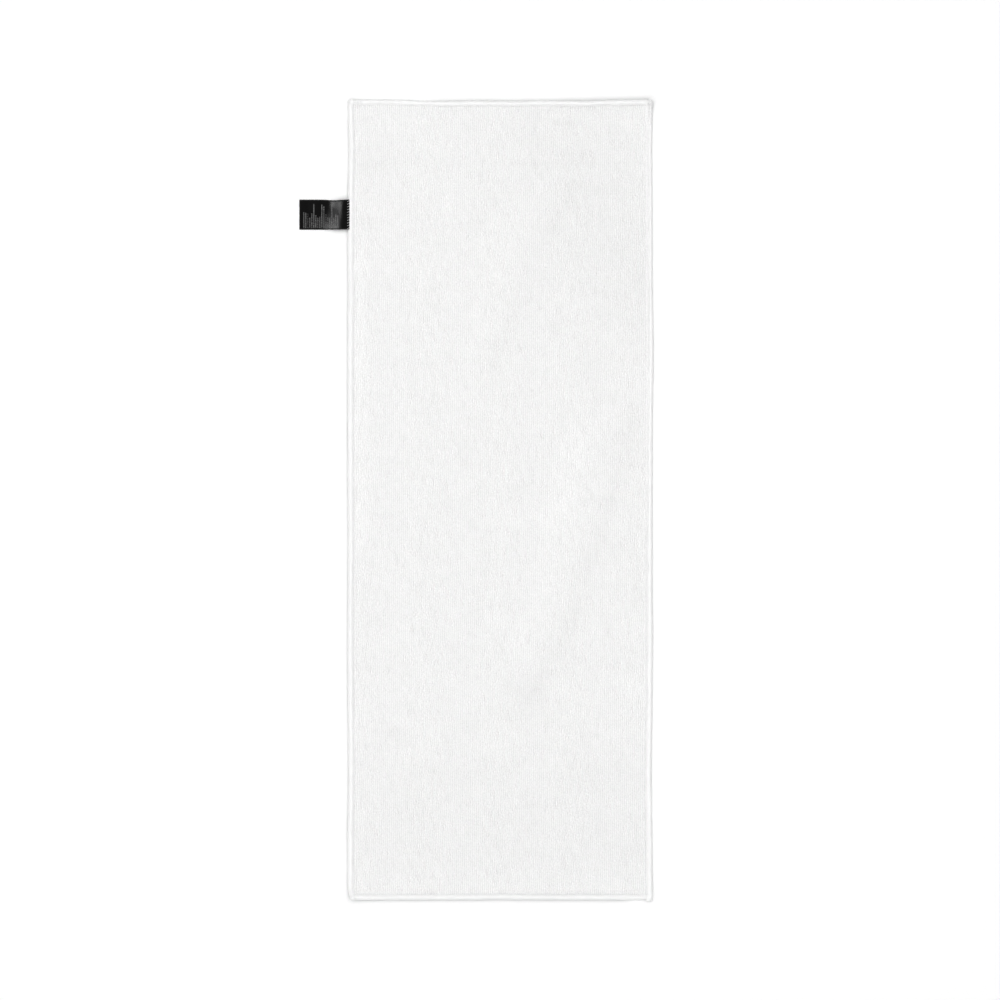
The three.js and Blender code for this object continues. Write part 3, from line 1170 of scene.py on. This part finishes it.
@dataclass
class CareLabel:
    """A folded satin ribbon, sewn on the edge of the left hem, that droops to the table beside the towel.

    The ribbon is one closed mesh of two layers. Its free end is the fold, and its cut ends are in the seam.
    """

    inner: float
    free_end: float
    low_side: float
    high_side: float
    seat: float
    sheet: float = 0.2 * MM
    fold_radius: float = 0.15 * MM
    droop_start: float = 2.2 * MM
    droop_low: float = 30.0 * MM
    droop_high: float = 22.0 * MM
    layer_steps: int = 124
    width_steps: int = 28
    waist: float = 1.0 * MM
    waist_from_seam: float = 17.0 * MM
    waist_reach: float = 11.0 * MM
    margin: float = 4.0 * MM
    row_pitch: float = 2.5 * MM
    print_rows: int = 18
    shortest_row: float = 15.0 * MM
    longest_row: float = 33.0 * MM
    row_seed: int = 52

    def height(self, x: np.ndarray, share: np.ndarray) -> np.ndarray:
        """Returns the height of the ribbon's middle.

        Args:
            x: places along the ribbon.
            share: places across it, from 0 at the low side to 1 at the high side.

        Returns:
            The height at each place.
        """
        droop = self.droop_low + (self.droop_high - self.droop_low) * smooth_step((share - 0.1) / 0.75)
        out = self.inner - 2.9 * MM - self.droop_start - 1.6 * MM * (1 - smooth_step(share))
        fall = smooth_step((out - x) / droop)
        waver = 0.07 * MM * SoftNoise(51, 26 * MM, 30 * MM).at(x, share * (self.high_side - self.low_side))
        free = smooth_step((self.inner - 4 * MM - x) / (8 * MM))
        sewn = self.seat + self.sheet + self.fold_radius
        return sewn - (self.seat - 0.02 * MM) * fall + np.abs(waver) * free

    def centre_line(self) -> tuple[np.ndarray, np.ndarray, np.ndarray]:
        """Draws the ribbon's path in its own plane.

        Returns:
            The place along X, the offset from the middle height, and the run along the ribbon.
        """
        turn = np.linspace(-90, 90, 9)[1:-1]
        low = np.linspace(self.inner, self.free_end + self.fold_radius, self.layer_steps + 1)
        bend = self.free_end + self.fold_radius - self.fold_radius * np.cos(np.radians(turn))
        x = np.concatenate([low, bend, low[::-1]])
        offset = np.concatenate([
            np.full(low.size, -self.fold_radius), self.fold_radius * np.sin(np.radians(turn)),
            np.full(low.size, self.fold_radius),
        ])
        run = np.concatenate([[0.0], np.cumsum(np.hypot(np.diff(x), np.diff(offset)))])
        return x, offset, run

    def reach_at(self, x: np.ndarray) -> np.ndarray:
        """Returns how far across the ribbon the print reaches at each place along it.

        Args:
            x: places along the ribbon.

        Returns:
            Each place's reach: every row has its own seeded length, and long rows are the fewest.
        """
        share = np.random.default_rng(self.row_seed).random(self.print_rows) ** 2
        lengths = self.shortest_row + (self.longest_row - self.shortest_row) * share
        row = np.floor((x - self.free_end - self.margin) / self.row_pitch).astype(int)
        known = (row >= 0) & (row < self.print_rows)
        return np.where(known, lengths[np.clip(row, 0, self.print_rows - 1)], 0.0)

    def build(self, finish: SatinFinish) -> bpy.types.Object:
        """Builds the folded ribbon.

        Args:
            finish: the satin's finish.

        Returns:
            The piece.
        """
        x, offset, run = self.centre_line()
        share = np.linspace(0, 1, self.width_steps + 1)
        grid_x, grid_share = np.meshgrid(x, share, indexing="ij")
        bay = np.exp(-(((grid_x - self.inner + self.waist_from_seam) / self.waist_reach) ** 2))
        waist = self.waist * bay * smooth_step(grid_share)
        y = self.low_side + grid_share * (self.high_side - self.low_side) - waist
        middle = self.height(grid_x, grid_share)
        centre = np.stack([grid_x, y, middle + offset[:, None]], axis=-1)
        along = np.gradient(centre, axis=0)
        across = np.gradient(centre, axis=1)
        normal = np.cross(along, across)
        normal /= np.linalg.norm(normal, axis=2)[..., None]
        inside, outside = centre - normal * self.sheet / 2, centre + normal * self.sheet / 2
        rings = np.concatenate([inside, outside[:, ::-1]], axis=1)
        shell = swept(rings)
        place = np.concatenate([share, share[::-1]]) * (self.high_side - self.low_side)
        from_end = run - run[-1] + (self.inner - self.free_end) - self.margin
        around = len(place)
        shell.corners = [
            [(float(from_end[index // around]), float(place[index % around])) for index in face]
            for face in shell.faces
        ]
        half = len(x) // 2
        upper = (np.arange(len(x)) > half)[:, None] & (np.arange(around) > self.width_steps)[None, :]
        shell.marks["print_reach"] = np.where(upper, self.reach_at(x)[:, None], 0.0).ravel()
        return shell.piece("care_label_ribbon", finish.material())


@dataclass
class LabelStitches:
    """The slanted stitches that hold the label's cut ends on the hem, and the edge thread that links them."""

    label: CareLabel
    count: int = 11
    radius: float = 0.4 * MM
    reach: float = 3.0 * MM
    slant: float = 1.6 * MM

    def build(self, finish: bpy.types.Material) -> bpy.types.Object:
        """Builds the stitches.

        Args:
            finish: the thread's material.

        Returns:
            The piece.
        """
        label = self.label
        top = label.seat + 2 * (label.sheet + label.fold_radius)
        pitch = (label.high_side - label.low_side) / self.count
        share = np.linspace(0, 1, 12)
        shells = []
        for k in range(self.count):
            y = label.low_side + (k + 0.2) * pitch
            bow = np.sin(math.pi * share)
            arch = 0.22 * MM * np.sqrt(bow) - 0.2 * MM * (1 - bow) ** 4
            across = label.inner + 0.5 * MM - self.reach * (1 - share)
            shells.append(tube(np.stack([across, y + self.slant * share, top + arch], -1), self.radius, 8))
        run = np.linspace(0, 1, self.count * 10 + 1)
        y = label.low_side + 0.4 * MM + run * (label.high_side - label.low_side - 0.8 * MM)
        sway = np.sin(TURN * run * self.count)
        across, height = label.inner + 0.45 * MM + 0.15 * MM * sway, top - 0.35 * MM + 0.08 * MM * sway
        edge = np.stack([across, y, height], -1)
        shells.append(tube(edge, self.radius * 0.6, 8))
        return joined(shells).piece("care_label_stitching", finish)


# The studio


@dataclass
class Studio:
    """A plain pale table in a soft room, brightest round its ceiling's edge, with a soft box and the camera.

    The room lights the towel, and beyond the table the camera sees a plain pale backdrop in its place.
    """

    frame_width: float = 1.2477
    camera_shift: float = -0.94 * MM
    lens: float = 100.0
    table_size: float = 60.0
    key_from: tuple[float, float, float] = (-0.43, 0.1, 0.9)
    key_distance: float = 4.2
    key_size: float = 0.95
    key_radiance: float = 4.5
    wall: float = 0.4
    soffit: float = 1.52
    ceiling: float = 0.35
    wall_top: tuple[float, float] = (0.34, 0.58)
    ceiling_edge: tuple[float, float] = (0.86, 0.95)
    contrast: float = 0.6
    backdrop: float = 0.97

    def table(self) -> bpy.types.Object:
        """Makes the table, which isn't part of the towel."""
        half = self.table_size / 2
        corners = [(-half, -half, 0), (half, -half, 0), (half, half, 0), (-half, half, 0)]
        mesh = bpy.data.meshes.new("table")
        mesh.from_pydata(corners, [], [[0, 1, 2, 3]])
        material, _, shader = Surface(roughness=0.9, specular=0.1).open("pale_table")
        shader.inputs["Base Color"].default_value = (0.897, 0.897, 0.897, 1)
        mesh.materials.append(material)
        made = bpy.data.objects.new("table", mesh)
        bpy.context.scene.collection.objects.link(made)
        return made

    def light(self) -> None:
        """Makes the soft box and the room."""
        direction = np.array(self.key_from) / np.linalg.norm(self.key_from)
        data = bpy.data.lights.new("soft_box", "AREA")
        data.shape = "SQUARE"
        data.size = self.key_size
        data.energy = self.key_radiance * math.pi * self.key_size**2
        lamp = bpy.data.objects.new("soft_box", data)
        lamp.location = direction * self.key_distance
        lamp.rotation_mode = "QUATERNION"
        lamp.rotation_quaternion = lamp.location.to_track_quat("Z", "Y")
        lamp.visible_camera = False
        bpy.context.scene.collection.objects.link(lamp)
        world = bpy.data.worlds.new("room")
        world.use_nodes = True
        bpy.context.scene.world = world
        canvas = Canvas(world.node_tree)
        towards = canvas.add("ShaderNodeTexCoord").outputs["Generated"]
        up = canvas.add("ShaderNodeSeparateXYZ", {0: towards}).outputs[2]
        sides = self.ramp(canvas, up, self.wall_top, self.wall, self.soffit)
        middle = self.ramp(canvas, up, self.ceiling_edge, 0.0, self.soffit - self.ceiling)
        room = canvas.math("SUBTRACT", sides, middle)
        seen = canvas.add("ShaderNodeLightPath").outputs["Is Camera Ray"]
        strength = canvas.math("MULTIPLY_ADD", seen, canvas.math("SUBTRACT", self.backdrop, room), room)
        canvas.feed(world.node_tree.nodes["Background"].inputs["Strength"], strength)
        world.node_tree.nodes["Background"].inputs["Color"].default_value = (1, 1, 1, 1)

    @staticmethod
    def ramp(canvas: Canvas, up: object, span: tuple[float, float], low: float, high: float) -> object:
        """Adds a smooth change of brightness with height.

        Args:
            canvas: the canvas of the world's tree.
            up: how steeply a direction points up, from -1 to 1.
            span: where the change starts and ends.
            low: the brightness below it.
            high: the brightness above it.

        Returns:
            The brightness's socket.
        """
        inputs = {"Value": up, "From Min": span[0], "From Max": span[1], "To Min": low, "To Max": high}
        return canvas.add("ShaderNodeMapRange", inputs, interpolation_type="SMOOTHSTEP").outputs[0]

    def camera(self) -> None:
        """Hangs the camera straight above the towel."""
        data = bpy.data.cameras.new("overhead")
        data.lens = self.lens
        made = bpy.data.objects.new("overhead", data)
        distance = self.frame_width / data.sensor_width * self.lens
        made.location = (0.0, self.camera_shift, distance)
        bpy.context.scene.collection.objects.link(made)
        bpy.context.scene.camera = made
        bpy.context.scene.view_settings.view_transform = "Standard"
        bpy.context.scene.view_settings.gamma = self.contrast


class GolfTowel:
    """The whole towel: builds every piece from the frame's boxes and says what each one stands for."""

    def __init__(self) -> None:
        """Reads the sizes from the frame."""
        _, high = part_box("right_hem")
        _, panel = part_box("terry_panel")
        self.form = ClothForm(half_width=high.x, half_length=high.y)
        self.hem_height = high.z
        self.thickness = panel.z

    def rides(self, piece: bpy.types.Object, slot: Slot, *nodes: str) -> bpy.types.Object:
        """Puts a piece on the towel's body in place of its CAD nodes.

        Args:
            piece: the piece.
            slot: the slot for its finish. It is not used.
            *nodes: the nodes it stands for.

        Returns:
            The same piece.
        """
        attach(piece, Body.TOWEL.value)
        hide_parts(*nodes)
        LOG.info("%s: %d faces, for %s", piece.name, len(piece.data.polygons), ", ".join(nodes))
        return piece

    def hems(self) -> list[Hem]:
        """Returns the four hems with what is particular to each."""
        left = Hem(self.form, Edge.LEFT, self.hem_height, lip_low=7.2 * MM, lip_high=7.2 * MM)
        left.roll_low, left.roll_high = 3.4 * MM, 3.4 * MM
        right = Hem(self.form, Edge.RIGHT, self.hem_height, lip_low=8.1 * MM, lip_high=5.2 * MM)
        right.overrun, right.looped = 1.5 * MM, (0.470, 0.6, 0.006)
        right.roll_low, right.roll_high = 2.6 * MM, 2.4 * MM
        top = Hem(self.form, Edge.TOP, self.hem_height, looped=(-0.3, -0.173, 0.003))
        top.roll_low, top.roll_high = 2.2 * MM, 3.3 * MM
        bottom = Hem(self.form, Edge.BOTTOM, self.hem_height, roll_low=3.6 * MM, roll_high=3.4 * MM)
        return [left, right, top, bottom]

    def cloth(self, table: bpy.types.Object) -> None:
        """Builds the cloth, its hems and its seams.

        Args:
            table: what the towel rests on. It is not used.
        """
        tuck = HEM_MOUTH - 0.1 * MM
        half_width, half_length = self.form.half_width - tuck, self.form.half_length - tuck
        terry = TerryCloth(self.form, self.thickness, half_width, half_length)
        panel = self.rides(terry.build(TerryFinish()), Slot.TERRY, "terry_panel")
        hem_cloth = HemFinish().material()
        seam_thread = ThreadFinish("white_seam_thread", (0.88, 0.88, 0.88, 1.0)).material()
        for hem in self.hems():
            fold = hem.build(hem_cloth)
            self.rides(fold, Slot.HEM, f"{hem.edge.value}_hem")
            for layer in Layer:
                thread = Seam(hem, layer).build(seam_thread)
                self.rides(thread, Slot.SEAM, f"{hem.edge.value}_{layer.value}_thread")

    def label(self) -> None:
        """Builds the care label and its stitching."""
        tail_low, tail_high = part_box("care_label_tail")
        leaf_low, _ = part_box("care_label_leaf")
        ribbon = CareLabel(tail_high.x, leaf_low.x, tail_low.y, tail_high.y, seat=self.hem_height - 0.05 * MM)
        piece = ribbon.build(SatinFinish())
        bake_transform(piece)
        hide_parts("care_label_tail", "care_label_leaf")
        LOG.info("%s: %d faces, across the hinge", piece.name, len(piece.data.polygons))
        thread = ThreadFinish("pale_label_thread", (0.72, 0.72, 0.72, 1.0)).material()
        stitches = self.rides(LabelStitches(ribbon).build(thread), Slot.LABEL_THREAD, "label_stitches")


def main() -> None:
    """Builds the studio and the towel."""
    logging.basicConfig(level=logging.INFO, format="%(name)s: %(message)s")
    studio = Studio()
    studio.camera()
    studio.light()
    table = studio.table()
    towel = GolfTowel()
    towel.cloth(table)
    towel.label()


if __name__ == "__main__":
    main()
